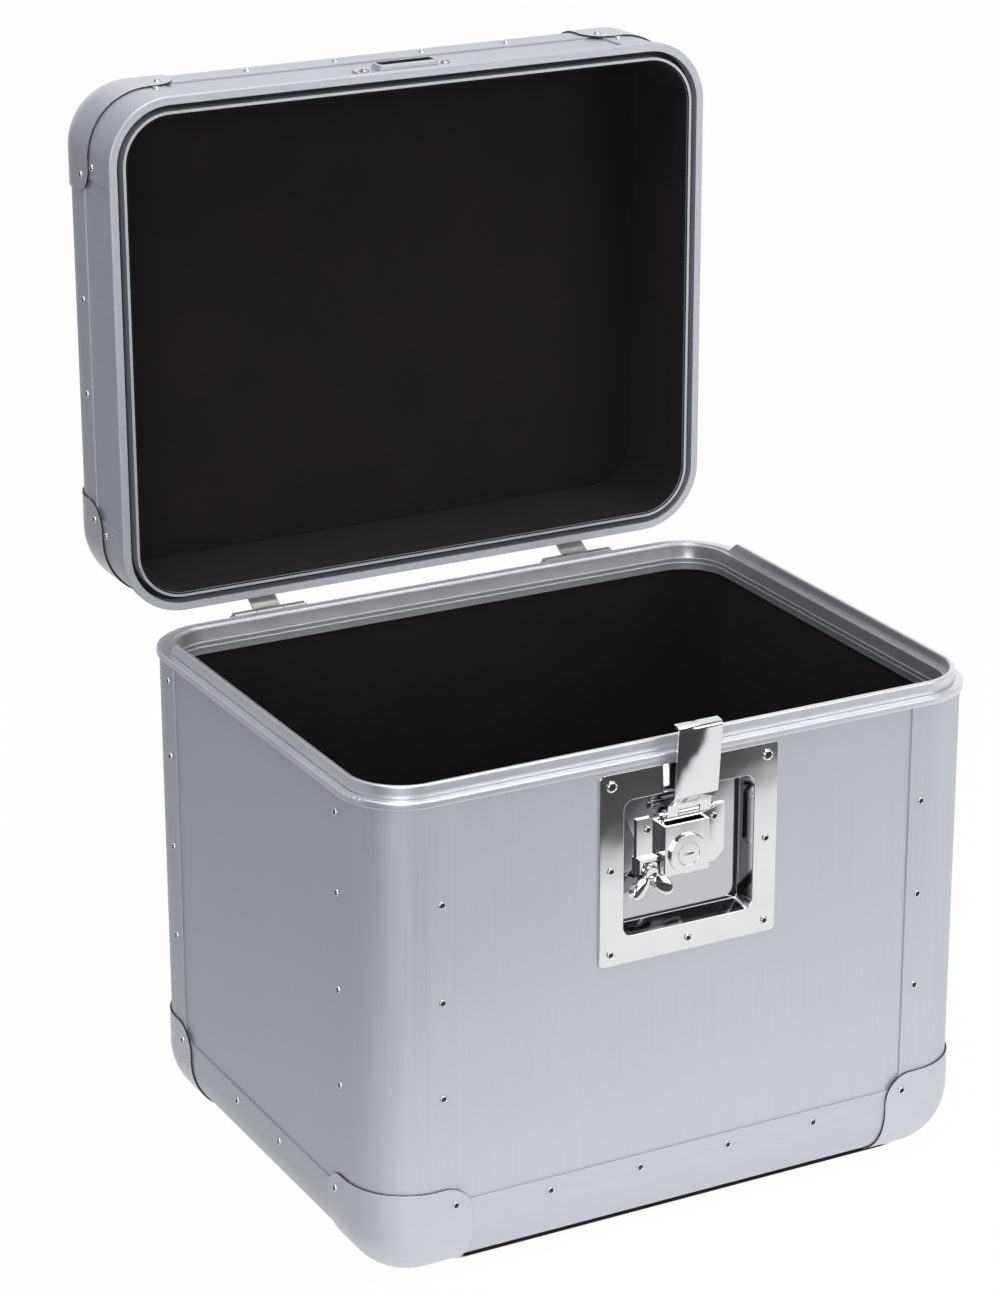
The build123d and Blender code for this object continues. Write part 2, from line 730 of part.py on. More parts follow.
# ---------------------------------------------------------------- lock
barrel_face = latch_plate_sheet
barrel_back = barrel_face - barrel_length
with BuildPart() as barrel:
    with BuildSketch(front_face.offset(barrel_back)):
        with Locations(barrel_spot):
            Circle(barrel_radius)
            Circle(plug_radius + plug_gap, mode=Mode.SUBTRACT)
    extrude(amount=barrel_length)
    with BuildSketch(front_face.offset(crown_face - bracket_sheet)):
        with Locations(barrel_spot):
            Circle(barrel_radius + barrel_flange)
            Circle(plug_radius + plug_gap, mode=Mode.SUBTRACT)
    extrude(amount=-barrel_flange)
write(barrel.part, "lock_barrel")

with BuildPart() as plug:
    with BuildSketch(front_face.offset(barrel_back)):
        with Locations(barrel_spot):
            Circle(plug_radius)
    extrude(amount=barrel_length)
    with BuildSketch(front_face.offset(barrel_face)):
        with Locations(barrel_spot):
            Rectangle(keyway_length, keyway_width)
    extrude(amount=-barrel_length / 2, mode=Mode.SUBTRACT)
write(plug.part, "lock_plug")

# ---------------------------------------------------------------- butterfly wing
# An eccentric disc under the wing works in the carriage's yoke: a quarter turn draws the
# carriage down by the claw's travel
eccentric = claw_travel / 2 / sin(radians(wing_turn / 2))
eccentric_x = -wing_offset + eccentric * cos(radians(wing_turn / 2))
eccentric_y = -wing_drop + claw_travel / 2
carriage_back = dish_floor + carriage_lift_gap
carriage_front = carriage_back + carriage_sheet
hub_back = carriage_front + running_gap
shaft_head = bracket_sheet
with BuildPart() as wing:
    with BuildSketch(front_face.offset(dish_back - running_gap)):
        with Locations(wing_spot):
            Circle(wing_shaft_radius)
    extrude(amount=hub_back - dish_back + running_gap)
    with BuildSketch(front_face.offset(dish_back - running_gap)):
        with Locations(wing_spot):
            Circle(wing_hub_radius)
    extrude(amount=-shaft_head)
    with BuildSketch(front_face.offset(carriage_back)):
        with Locations((eccentric_x, eccentric_y)):
            Circle(wing_disc_radius)
    extrude(amount=hub_back - carriage_back)
    with BuildSketch(front_face.offset(hub_back)):
        with Locations(wing_spot):
            Circle(wing_hub_radius)
        for lobe_turn in wing_lobe_turns:
            lobe_x = -wing_offset + wing_lobe_centre * cos(radians(lobe_turn))
            lobe_y = -wing_drop + wing_lobe_centre * sin(radians(lobe_turn))
            with Locations(Location((lobe_x, lobe_y), lobe_turn)):
                Ellipse(wing_lobe_length / 2, wing_lobe_width / 2)
    extrude(amount=wing_sheet)
write(wing.part, "butterfly_wing")

# ---------------------------------------------------------------- carriage
pivot_spot = Vector(0, -claw_pivot_drop, -claw_pivot_depth)
pivot = front_face.from_local_coords(pivot_spot)
carriage_half = bracket_inner - slide_gap
yoke_half = wing_disc_radius + yoke_gap
yoke_left = -wing_offset - wing_disc_radius
yoke_right = eccentric - wing_offset + yoke_half
with BuildPart() as carriage:
    with BuildSketch(front_face.offset(carriage_back)):
        with Locations((0, -claw_pivot_drop)):
            plate_length = wing_drop + yoke_half + yoke_wall - claw_travel / 2 - claw_pivot_drop
            Rectangle(2 * carriage_half, plate_length, align=(Align.CENTER, Align.MAX))
        with Locations((yoke_left - yoke_wall, eccentric_y)):
            Rectangle(-yoke_left + yoke_wall, 2 * (yoke_half + yoke_wall),
                      align=(Align.MIN, Align.CENTER))
        with Locations((yoke_left, eccentric_y)):
            Rectangle(yoke_right - yoke_left, 2 * yoke_half, align=(Align.MIN, Align.CENTER),
                      mode=Mode.SUBTRACT)
    extrude(amount=carriage_sheet)
    with BuildSketch(Plane(origin=pivot, x_dir=(0, -1, 0), z_dir=(-1, 0, 0))):
        Circle(claw_knuckle_radius)
        neck_depth = -claw_pivot_depth - carriage_back
        Rectangle(neck_depth, claw_knuckle_radius, align=(Align.MAX, Align.CENTER))
        Circle(claw_pin_radius, mode=Mode.SUBTRACT)
    extrude(amount=carriage_knuckle / 2, both=True)
write(carriage.part, "latch_carriage")

# ---------------------------------------------------------------- claw
# Seen from the side: x outwards from the case and y up, leaning out with the claw
lean = radians(claw_lean)
claw_side = Plane(origin=pivot, x_dir=(0, -cos(lean), -sin(lean)), z_dir=(-1, 0, 0))
claw_stem = claw_knuckle_radius - claw_sheet / 2
claw_plane = claw_pivot_depth + keeper_face + claw_keeper_gap + claw_sheet / 2
claw_crest = claw_pivot_drop + claw_top - claw_sheet / 2
claw_mouth = claw_plane - claw_sheet / 2 - claw_lip
joggle_foot = claw_knuckle_radius + 2 * claw_sheet
joggle_head = joggle_foot + claw_plane - claw_stem + claw_sheet
with BuildPart() as claw:
    with BuildSketch(claw_side):
        with BuildLine():
            FilletPolyline(
                (claw_stem, 0), (claw_stem, joggle_foot), (claw_plane, joggle_head),
                (claw_plane, claw_crest), (claw_mouth, claw_crest), radius=claw_bend
            )
        trace(line_width=claw_sheet)
        Circle(claw_knuckle_radius)
        Circle(claw_pin_radius + pin_fit, mode=Mode.SUBTRACT)
    extrude(amount=claw_width / 2, both=True)
    with BuildSketch(claw_side):
        middle = claw_knuckle_radius + running_gap
        Rectangle(3 * claw_knuckle_radius, 2 * middle + running_gap)
    extrude(amount=carriage_knuckle / 2 + running_gap, both=True, mode=Mode.SUBTRACT)
write(claw.part, "latch_claw")

with BuildPart() as claw_pin:
    with BuildSketch(Plane(origin=pivot, z_dir=(1, 0, 0))):
        Circle(claw_pin_radius)
    extrude(amount=claw_width / 2 + claw_sheet, both=True)
    for end in claw_pin.faces().filter_by(Axis.X).sort_by(Axis.X):
        with BuildSketch(Plane(end)):
            Circle(claw_knuckle_radius - claw_sheet / 2)
        extrude(amount=claw_sheet / 2)
write(claw_pin.part, "claw_pin")

# ---------------------------------------------------------------- rivets
def heads(plane, spots):
    with BuildSketch(plane) as rows:
        with Locations(spots):
            RegularPolygon(rivet_radius, rivet_sides)
    extrude(rows.sketch, amount=rivet_head, taper=rivet_taper)


def band_spots(span, rise, count):
    return [(span / 2 + rivet_pitch * (step - (count - 1) / 2), rise) for step in range(count)]


def end_face_rivets(frame, cap_ways):
    # On the closed end of a shell, seen from outside
    outside = Plane(origin=frame.origin, x_dir=frame.x_dir, z_dir=-frame.z_dir)
    for rise in (-half_depth + rivet_inset, half_depth - rivet_inset):
        heads(outside, band_spots(0, rise, long_rivets))
    for across in (-half_width + rivet_inset, half_width - rivet_inset):
        heads(outside, [(across, spot[0]) for spot in band_spots(0, 0, short_rivets)])
    for way_x in cap_ways:
        caps = [(way_x * (half_width - cap_rivet_inset), way_y * (half_depth - cap_rivet_inset))
                for way_y in cap_ways]
        heads(outside.offset(cap_sheet), caps)


def wall_rivets(frame, side_x, side_y, turn, span, rises):
    count = long_rivets if span == case_width else short_rivets
    wall_face = wall_plane(frame, side_x, side_y, turn, 0)
    posts = [(across, rise) for across in (rivet_inset, span - rivet_inset) for rise in rises]
    heads(wall_face, posts + band_spots(span, rivet_inset, count))
    caps = [(across, cap_rivet_inset) for across in (cap_rivet_inset, span - cap_rivet_inset)]
    heads(wall_face.offset(cap_sheet), caps)


leaf_rivets = [-hinge_rivet_spacing, 0, hinge_rivet_spacing]
with BuildPart() as base_rivets:
    upright = [base_height - post_rivet_drop - rivet_pitch * step for step in range(3)]
    for side_x, side_y, turn, wall, span in corners:
        rises = upright if span == case_width else upright + [base_height - side_rivet_drop]
        wall_rivets(base_frame, side_x, side_y, turn, span, rises)
    # The case stands on its ball corners, so their undersides have no rivets
    end_face_rivets(base_frame, ())
    leaf_height = hinge_z - hinge_leaf_drop - hinge_leaf_length / 2
    back_leaf = Plane(origin=(0, half_depth - panel_face + hinge_leaf, leaf_height),
                      x_dir=(-1, 0, 0), z_dir=(0, 1, 0))
    for label, hinge_x in hinge_places:
        heads(back_leaf, [(hinge_x + step, 0) for step in leaf_rivets])
write(base_rivets.part, "base_rivets")

with BuildPart() as lid_rivets:
    for side_x, side_y, turn, wall, span in corners:
        wall_rivets(lid_frame, side_x, side_y, turn, span, [lid_height - lid_post_rivet_rise])
    end_face_rivets(lid_frame, (-1, 1))
    leaf_rise = hinge_y + hinge_leaf_rise + hinge_leaf_length / 2
    under_leaf = Plane(origin=(0, leaf_rise, hinge_z + leaf_centre - hinge_leaf / 2), z_dir=(0, 0, -1))
    for label, hinge_x in hinge_places:
        heads(under_leaf, [(hinge_x + step, 0) for step in leaf_rivets])
    for way in (-1, 1):
        foot_x = way * (ear_inner + handle_bracket_foot - rivet_radius - handle_bracket_sheet)
        heads(lid_top_face.offset(handle_bracket_sheet),
              [(foot_x, -handle_bracket_width / 4), (foot_x, handle_bracket_width / 4)])
write(lid_rivets.part, "lid_rivets")

with BuildPart() as latch_rivets:
    edge_x = latch_plate_width / 2 - latch_rivet_inset
    edge_y = latch_plate_height / 2 - latch_rivet_inset
    plate_spots = [(way * edge_x, plate_centre + rise) for way in (-1, 1) for rise in (-edge_y, 0, edge_y)]
    heads(front_face.offset(latch_plate_sheet), plate_spots + [(0, plate_centre - edge_y)])
    flange_x = bracket_half + bracket_flange / 2
    heads(front_face.offset(dish_floor + bracket_sheet),
          [(way * flange_x, -bracket_drop - latch_rivet_inset) for way in (-1, 1)])
write(latch_rivets.part, "latch_rivets")
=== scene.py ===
import json
import math

import bmesh
import bpy
from mathutils import Matrix, Vector

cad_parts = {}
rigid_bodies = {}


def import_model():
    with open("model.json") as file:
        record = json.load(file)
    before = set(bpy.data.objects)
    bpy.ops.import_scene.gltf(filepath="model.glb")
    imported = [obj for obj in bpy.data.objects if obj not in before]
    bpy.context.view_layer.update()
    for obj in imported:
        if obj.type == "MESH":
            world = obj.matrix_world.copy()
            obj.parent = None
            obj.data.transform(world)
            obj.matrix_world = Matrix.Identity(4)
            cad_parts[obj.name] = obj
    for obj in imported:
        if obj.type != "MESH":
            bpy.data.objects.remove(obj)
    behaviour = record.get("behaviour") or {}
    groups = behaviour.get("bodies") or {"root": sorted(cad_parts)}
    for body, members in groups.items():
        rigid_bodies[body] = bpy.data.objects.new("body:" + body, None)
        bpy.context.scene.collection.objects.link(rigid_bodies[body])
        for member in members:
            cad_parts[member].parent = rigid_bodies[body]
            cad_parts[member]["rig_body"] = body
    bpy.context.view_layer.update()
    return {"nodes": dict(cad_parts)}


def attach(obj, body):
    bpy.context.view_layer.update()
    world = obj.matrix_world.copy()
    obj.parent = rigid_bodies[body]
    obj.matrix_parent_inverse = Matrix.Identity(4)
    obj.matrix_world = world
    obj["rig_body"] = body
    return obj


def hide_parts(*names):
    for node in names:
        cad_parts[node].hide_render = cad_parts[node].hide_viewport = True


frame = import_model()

nodes = frame["nodes"]
print("frame loaded:", len(nodes), "nodes")


def plug(tree, socket, given):
    # a link from another node's output, or else a plain value
    if isinstance(given, Term):
        tree.links.new(given.socket, socket)
    else:
        socket.default_value = given


class Term:
    # one node output, with arithmetic that builds Math nodes
    def __init__(self, tree, socket):
        self.tree = tree
        self.socket = socket

    def maths(self, operation, *given):
        made = self.tree.nodes.new("ShaderNodeMath")
        made.operation = operation
        for socket, item in zip(made.inputs, given):
            plug(self.tree, socket, item)
        return Term(self.tree, made.outputs[0])

    def __add__(self, other):
        return self.maths("ADD", self, other)

    def __radd__(self, other):
        return self.maths("ADD", other, self)

    def __sub__(self, other):
        return self.maths("SUBTRACT", self, other)

    def __rsub__(self, other):
        return self.maths("SUBTRACT", other, self)

    def __mul__(self, other):
        return self.maths("MULTIPLY", self, other)

    def __rmul__(self, other):
        return self.maths("MULTIPLY", other, self)

    def least(self, other):
        return self.maths("MINIMUM", self, other)

    def most(self, other):
        return self.maths("MAXIMUM", self, other)

    def unsigned(self):
        return self.maths("ABSOLUTE", self)

    def root(self):
        return self.maths("SQRT", self)


class NodeTree:
    # the nodes of one material or world
    def __init__(self, tree):
        self.tree = tree

    def node(self, kind, settings, given, output=0):
        made = self.tree.nodes.new("ShaderNode" + kind)
        for key, value in settings.items():
            if key == "stops":
                self.setStops(made.color_ramp.elements, value)
            else:
                setattr(made, key, value)
        for key, item in given.items():
            plug(self.tree, made.inputs[key], item)
        return Term(self.tree, made.outputs[output])

    def setStops(self, scale, stops):
        for stop, (position, colour) in zip(scale, (stops[0], stops[-1])):
            stop.position = position
            stop.color = colour
        for position, colour in stops[1:-1]:
            scale.new(position).color = colour

    def sister(self, term, output):
        # another output of the same node
        return Term(self.tree, term.socket.node.outputs[output])

    def axes(self, kind):
        # the three parts of one kind of coordinate
        spot = self.node("TexCoord", {}, {}, kind)
        split = self.node("SeparateXYZ", {}, {"Vector": spot})
        return {axis: self.sister(split, axis) for axis in "XYZ"}

    def tint(self, factor, first, second):
        return self.node("Mix", {"data_type": "RGBA"}, {0: factor, 6: first, 7: second}, 2)

    def ramp(self, item, start, end, low=0.0, high=1.0):
        given = {"Value": item, "From Min": start, "From Max": end, "To Min": low, "To Max": high}
        return self.node("MapRange", {}, given)

    def seen(self, share):
        # the camera sees the white background, and metal and glass see this share of it
        camera = self.node("LightPath", {}, {}, "Is Camera Ray")
        glossy = self.sister(camera, "Is Glossy Ray")
        through = self.sister(camera, "Is Transmission Ray")
        return camera + glossy.most(through) * share


class Finish(NodeTree):
    # one procedural material on Object coordinates
    def __init__(self, name, settings):
        self.material = bpy.data.materials.new(name)
        self.material.use_nodes = True
        super().__init__(self.material.node_tree)
        self.shader = self.tree.nodes["Principled BSDF"]
        for key, value in settings.items():
            self.shader.inputs[key].default_value = value

    def place(self, scale):
        # one scale for all directions, or three
        spread = scale if isinstance(scale, tuple) else (scale,) * 3
        spot = self.node("TexCoord", {}, {}, "Object")
        return self.node("Mapping", {}, {"Vector": spot, "Scale": spread})

    def noise(self, scale, detail):
        given = {"Vector": self.place(scale), "Scale": 1.0, "Detail": detail}
        return self.node("TexNoise", {}, given)

    def cells(self, scale):
        return self.node("TexVoronoi", {}, {"Vector": self.place(scale), "Scale": 1.0})

    def drive(self, name, item):
        plug(self.tree, self.shader.inputs[name], item)

    def bump(self, height, distance, strength):
        given = {"Height": height, "Distance": distance, "Strength": strength}
        self.drive("Normal", self.node("Bump", {}, given))


# fine and broad are the scale and detail of two noises, and share is how much of the colour's
# change the fine one makes; bump is its height in metres and its strength
brushed = {"across": 1300.0, "along": 12.0, "detail": 3.0}
brushedLook = {"shader": {"Metallic": 0.62}, "broad": (9.0, 4.0), "share": 0.75,
               "dark": (0.495, 0.512, 0.553, 1), "pale": (0.615, 0.634, 0.678, 1),
               "rough": 0.38, "spread": 0.18, "bump": (0.00005, 0.6)}
pressedLook = {"shader": {"Metallic": 0.72}, "fine": (900.0, 3.0), "broad": (16.0, 4.0),
               "share": 0.0, "dark": (0.53, 0.545, 0.590, 1), "pale": (0.65, 0.666, 0.713, 1),
               "rough": 0.29, "spread": 0.14, "bump": (0.00004, 0.5)}
# the base rim's aluminium: partly its own brighter finish and partly a painted highlight, paler
# than the lid rim's colour
rimHighlightLook = {"shader": {"Metallic": 0.8}, "fine": (60.0, 3.0), "broad": (20.0, 4.0), "share": 0.0,
           "dark": (0.66, 0.675, 0.71, 1), "pale": (0.80, 0.812, 0.84, 1),
           "rough": 0.34, "spread": 0.10}
rivetLook = {"shader": {"Metallic": 1.0}, "fine": (400.0, 3.0),
             "dark": (0.66, 0.67, 0.69, 1), "pale": (0.80, 0.81, 0.83, 1),
             "rough": 0.14, "spread": 0.10}
nickelLook = {"shader": {"Metallic": 1.0}, "fine": (120.0, 4.0),
              "dark": (0.50, 0.49, 0.47, 1), "pale": (0.62, 0.61, 0.59, 1),
              "rough": 0.24, "spread": 0.15}
# painted shade: a dark finish for the cut edges of the pressed corners, the keeper's slot and the
# rivets' hollows
paintedShadeLook = {"shader": {"Metallic": 0.6}, "fine": (1500.0, 2.0),
              "dark": (0.02, 0.02, 0.022, 1), "pale": (0.07, 0.07, 0.075, 1),
              "rough": 0.45, "spread": 0.2}
liningLook = {"shader": {"Sheen Weight": 0.04, "Sheen Roughness": 0.6, "Specular IOR Level": 0.15},
              "fine": (1500.0, 4.0), "broad": (22.0, 3.0), "share": 0.6,
              "dark": (0.004, 0.003, 0.004, 1), "pale": (0.018, 0.013, 0.016, 1),
              "rough": 0.80, "spread": 0.15, "bump": (0.0004, 0.7)}
rubberLook = {"shader": {"Specular IOR Level": 0.3}, "fine": (900.0, 3.0),
              "dark": (0.004, 0.004, 0.005, 1), "pale": (0.014, 0.014, 0.015, 1),
              "rough": 0.5, "spread": 0.2}
gripLook = {"shader": {"Coat Weight": 0.1}, "cells": 900.0,
            "dark": (0.012, 0.012, 0.013, 1), "pale": (0.03, 0.03, 0.032, 1),
            "rough": 0.45, "spread": 0.15, "bump": (0.0002, 0.5)}


def mottled(name, look):
    finish = Finish(name, look["shader"])
    if "cells" in look:
        fine = finish.cells(look["cells"])
    else:
        fine = finish.noise(*look["fine"])
    shade = fine
    if "broad" in look:
        shade = fine * look["share"] + finish.noise(*look["broad"]) * (1 - look["share"])
    finish.drive("Base Color", finish.tint(shade, look["dark"], look["pale"]))
    finish.drive("Roughness", fine * look["spread"] + look["rough"])
    if "bump" in look:
        finish.bump(fine, *look["bump"])
    return finish.material


def brushedAluminium(axis):
    # the brush marks run along one axis
    scale = tuple(brushed["along"] if key == axis else brushed["across"] for key in "xyz")
    fine = (scale, brushed["detail"])
    return mottled(f"brushed_aluminium_{axis}", {**brushedLook, "fine": fine})


plating = {"smear": (45.0, 4.0), "dark": (0.72, 0.725, 0.74, 1), "pale": (0.82, 0.825, 0.83, 1),
           "rough": 0.04, "spread": 0.08, "wave": (30.0, 1.0)}
# painted shade and reflection: the dish's drawn walls are painted dark and its back grey, by
# depth, in place of the shade and dark reflections there
dishPaintedShade = (((-0.1512, -0.1490), (0.20, 0.20, 0.205, 1)),
              ((-0.1430, -0.1421), (0.53, 0.545, 0.56, 1)))


def chromePlate(name, crown=0.0, tilt=0.0, ripple=0.0002, shadeBands=()):
    # crown is how strongly the face bulges across its width, tilt how far it leans sideways
    finish = Finish(name, {"Metallic": 1.0})
    smear = finish.noise(*plating["smear"])
    spot = finish.axes("Object")
    across = spot["X"]
    wave = finish.noise(*plating["wave"]) * ripple - across * across * crown + across * tilt
    colour = finish.tint(smear, plating["dark"], plating["pale"])
    # painted shade and reflection: the colour turns to each darker colour over its band of depth
    for (start, end), shadeColour in shadeBands:
        colour = finish.tint(finish.ramp(spot["Y"], start, end), colour, shadeColour)
    finish.drive("Base Color", colour)
    finish.drive("Roughness", smear * plating["spread"] + plating["rough"])
    finish.bump(wave, 1.0, 1.0)
    return finish.material


uprightGrain = brushedAluminium("z")
crossGrain = brushedAluminium("x")
depthGrain = brushedAluminium("y")
pressed = mottled("pressed_aluminium", pressedLook)
chrome = chromePlate("chrome_plate")
clawChrome = chromePlate("chrome_claw", crown=8.0, tilt=0.07, ripple=0.0006)
paintedShadeDishChrome = chromePlate("chrome_dish_painted_shade", shadeBands=dishPaintedShade)
rimHighlightMetal = mottled("rim_aluminium_painted_highlight", rimHighlightLook)
nickel = mottled("nickel_steel", nickelLook)
riveted = mottled("rivet_metal", rivetLook)
paintedShadeFinish = mottled("painted_shade_dark", paintedShadeLook)
lining = mottled("black_lining", liningLook)
rubber = mottled("black_rubber", rubberLook)
plastic = mottled("grip_plastic", gripLook)

# the first row with a word that a node's name holds gives its finish
finishRows = (
    (("hinge",), nickel),
    (("latch_claw",), clawChrome),
    (("latch_dish",), paintedShadeDishChrome),
    (("strike_keeper",), pressed),
    (("latch", "claw", "butterfly", "lock", "strike", "handle_pins", "handle_brackets"), chrome),
    (("lining", "pad"), lining),
    (("gasket",), rubber),
    (("grip",), plastic),
    (("_cap_", "rivets"), pressed),
    (("edge_front", "edge_back"), crossGrain),
    (("lid_edge",), uprightGrain),
    (("bottom_edge", "lid_corner_posts"), depthGrain),
    (("lid_front_panel", "lid_back_panel", "lid_left_panel", "lid_right_panel"), depthGrain),
    (("base_rim",), rimHighlightMetal),
    (("lid_rim",), crossGrain),
)


def nodeFinish(name):
    for words, finish in finishRows:
        if any(word in name for word in words):
            return finish
    return uprightGrain


for name, thing in nodes.items():
    thing.data.materials.clear()
    thing.data.materials.append(nodeFinish(name))
print("finishes on the CAD nodes")


# distances in metres within which points, planes and levels count as the same
near = {"merge": 2e-6, "cut": 1e-7, "level": 1e-5, "flat": 5e-5, "outline": 2e-4}


def newPiece(label, shape, finishes, body, stands):
    mesh = bpy.data.meshes.new(label)
    shape.to_mesh(mesh)
    shape.free()
    piece = bpy.data.objects.new(label, mesh)
    bpy.context.collection.objects.link(piece)
    for finish in finishes:
        mesh.materials.append(finish)
    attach(piece, body)
    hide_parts(*stands)
    return piece


def mergedCopy(name):
    shape = bmesh.new()
    shape.from_mesh(nodes[name].data)
    bmesh.ops.remove_doubles(shape, verts=shape.verts, dist=near["merge"])
    return shape


def joinFlats(shape):
    # the loose triangles of each flat face become one face
    bmesh.ops.dissolve_limit(shape, angle_limit=math.radians(softEdge["flat"]),
                             verts=shape.verts, edges=shape.edges)


def everythingIn(shape):
    return list(shape.verts) + list(shape.edges) + list(shape.faces)


# angles in degrees; the weight keeps the big faces of a pressed corner flat
softEdge = {"flat": 0.8, "sharp": 28.0, "segments": 3, "weight": 100}
# width of the rounded edge on each kind of piece
softEdges = {
    "latch_dish": 0.0009, "latch_bracket": 0.0004, "latch_carriage": 0.00025,
    "latch_claw": 0.0004, "lock_barrel": 0.00035, "lock_plug": 0.00015,
    "strike_keeper": 0.00035, "handle_brackets": 0.0004, "hinge": 0.00025,
    "base_cap": 0.0003, "lid_cap": 0.0003, "bottom_edge": 0.0003, "lid_edge": 0.0003,
    "corner_post": 0.0003, "lid_corner_posts": 0.0003, "base_wall_lining": 0.0005,
    "lid_wall_lining": 0.0005, "lid_gasket": 0.0004, "lid_rim": 0.0003, "base_rim": 0.0003,
}
# how deep into the case a pressed corner's cut edge lies, and the base's and lid's outer ends
capEdge = {"from": 0.039, "facing": 0.5,
           "base": ((-0.1942, 0.1942), (-0.1532, 0.1532), (-0.0024,)),
           "lid": ((-0.1942, 0.1942), (0.2603,), (0.2921, 0.5985))}
# the lid's outline, the inner leg's tip measured from it, and how much of the tip shows
rimLap = {"centre": (0, 0.4453), "half": (0.193, 0.152), "radius": 0.037,
          "tip": (0.0071, 0.0096), "shown": 0.0009, "face": 0.1674, "lip": 0.0012}


def paintCutEdgeShadow(shape, body):
    # painted shadow: the sheet's cut edge, where a pressed corner ends on the profiles, takes the
    # dark finish as a shadow line
    low = Vector(min(vert.co[axis] for vert in shape.verts) for axis in range(3))
    high = Vector(max(vert.co[axis] for vert in shape.verts) for axis in range(3))
    middle = (low + high) / 2
    for face in shape.faces:
        centre = face.calc_center_median()
        for axis in range(3):
            outer = min(capEdge[body][axis], key=lambda end: abs(end - middle[axis]))
            inwards = 1 if outer < middle[axis] else -1
            depth = abs(centre[axis] - outer)
            if depth > capEdge["from"] and face.normal[axis] * inwards > capEdge["facing"]:
                face.material_index = 1


def paintSlotShade(shape):
    # painted shade: the keeper's slot and the hollow behind it take the dark finish
    centre = sum((vert.co for vert in shape.verts), Vector()) / len(shape.verts)
    for face in shape.faces:
        inwards = (centre - face.calc_center_median()).dot(face.normal) > 0
        upright = abs(face.normal.z) < 0.5
        if (upright and inwards) or face.normal.z < -0.5:
            face.material_index = 1


def outlineInset(first, second, halves, radius):
    # how far a point lies inside a rounded outline, from its distances to the middle
    along = abs(first) - halves[0] + radius
    across = abs(second) - halves[1] + radius
    if along > 0 and across > 0:
        return radius - math.hypot(along, across)
    return radius - max(along, across)


def rimInset(spot):
    middleX, middleZ = rimLap["centre"]
    return outlineInset(spot.x - middleX, spot.z - middleZ, rimLap["half"], rimLap["radius"])


def lapLining(shape):
    # the lid's lining laps over the rim's inner leg and leaves a thin bright lip
    level = Vector((0, rimLap["face"] + rimLap["lip"], 0))
    bmesh.ops.bisect_plane(shape, geom=everythingIn(shape), dist=near["cut"], plane_co=level,
                           plane_no=(0, 1, 0))
    start, end = rimLap["tip"]
    start -= near["outline"]
    tip = [face for face in shape.faces
           if abs(face.calc_center_median().y - rimLap["face"]) < near["flat"]
           and all(start < rimInset(vert.co) < end + near["outline"] for vert in face.verts)]
    bmesh.ops.inset_region(shape, faces=tip, thickness=rimLap["shown"], use_even_offset=True,
                           use_boundary=True)
    for face in shape.faces:
        insets = [rimInset(vert.co) for vert in face.verts]
        middle = sum(insets) / len(insets)
        deep = min(vert.co.y for vert in face.verts) > level.y - near["level"]
        flat = max(vert.co.y for vert in face.verts) < rimLap["face"] + near["flat"]
        if middle > end - near["outline"] and deep:
            face.material_index = 1
        if flat and middle > end - rimLap["shown"]:
            face.material_index = 1


def softenEdges(name, width):
    shape = mergedCopy(name)
    body = nodes[name]["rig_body"]
    joinFlats(shape)
    for face in shape.faces:
        face.smooth = True
    if "_cap_" in name:
        paintCutEdgeShadow(shape, body)
    if name == "strike_keeper":
        paintSlotShade(shape)
    if name == "lid_rim":
        lapLining(shape)
    # the second slot holds the lining on the lid's rim and the painted shade on the rest
    second = lining if name == "lid_rim" else paintedShadeFinish
    piece = newPiece(f"{name}_soft", shape, [nodeFinish(name), second], body, [name])
    piece.data.set_sharp_from_angle(angle=math.radians(softEdge["sharp"]))
    bevel = piece.modifiers.new("edges", "BEVEL")
    bevel.width = width
    bevel.segments = softEdge["segments"]
    bevel.limit_method = "ANGLE"
    bevel.angle_limit = math.radians(softEdge["sharp"])
    bevel.harden_normals = True
    if "_cap_" in name:
        flatten = piece.modifiers.new("flat_faces", "WEIGHTED_NORMAL")
        flatten.weight = softEdge["weight"]
        flatten.keep_sharp = True


for name in sorted(nodes):
    for start, width in softEdges.items():
        if name.startswith(start) and not name.endswith("pins"):
            softenEdges(name, width)
print("rounded edges")


foam = {"round": 0.004, "segments": 4, "step": 0.012, "rise": 0.0022, "slope": 0.055,
        "corner": 0.04, "fill": 0.95, "dip": 0.0004, "waves": ((55, 0.7), (43, 0.2)),
        "facing": 0.999, "sharp": 50}


def widestFace(shape, inward):
    facing = [face for face in shape.faces if face.normal.dot(inward) > foam["facing"]]
    return max(facing, key=lambda face: face.calc_area())


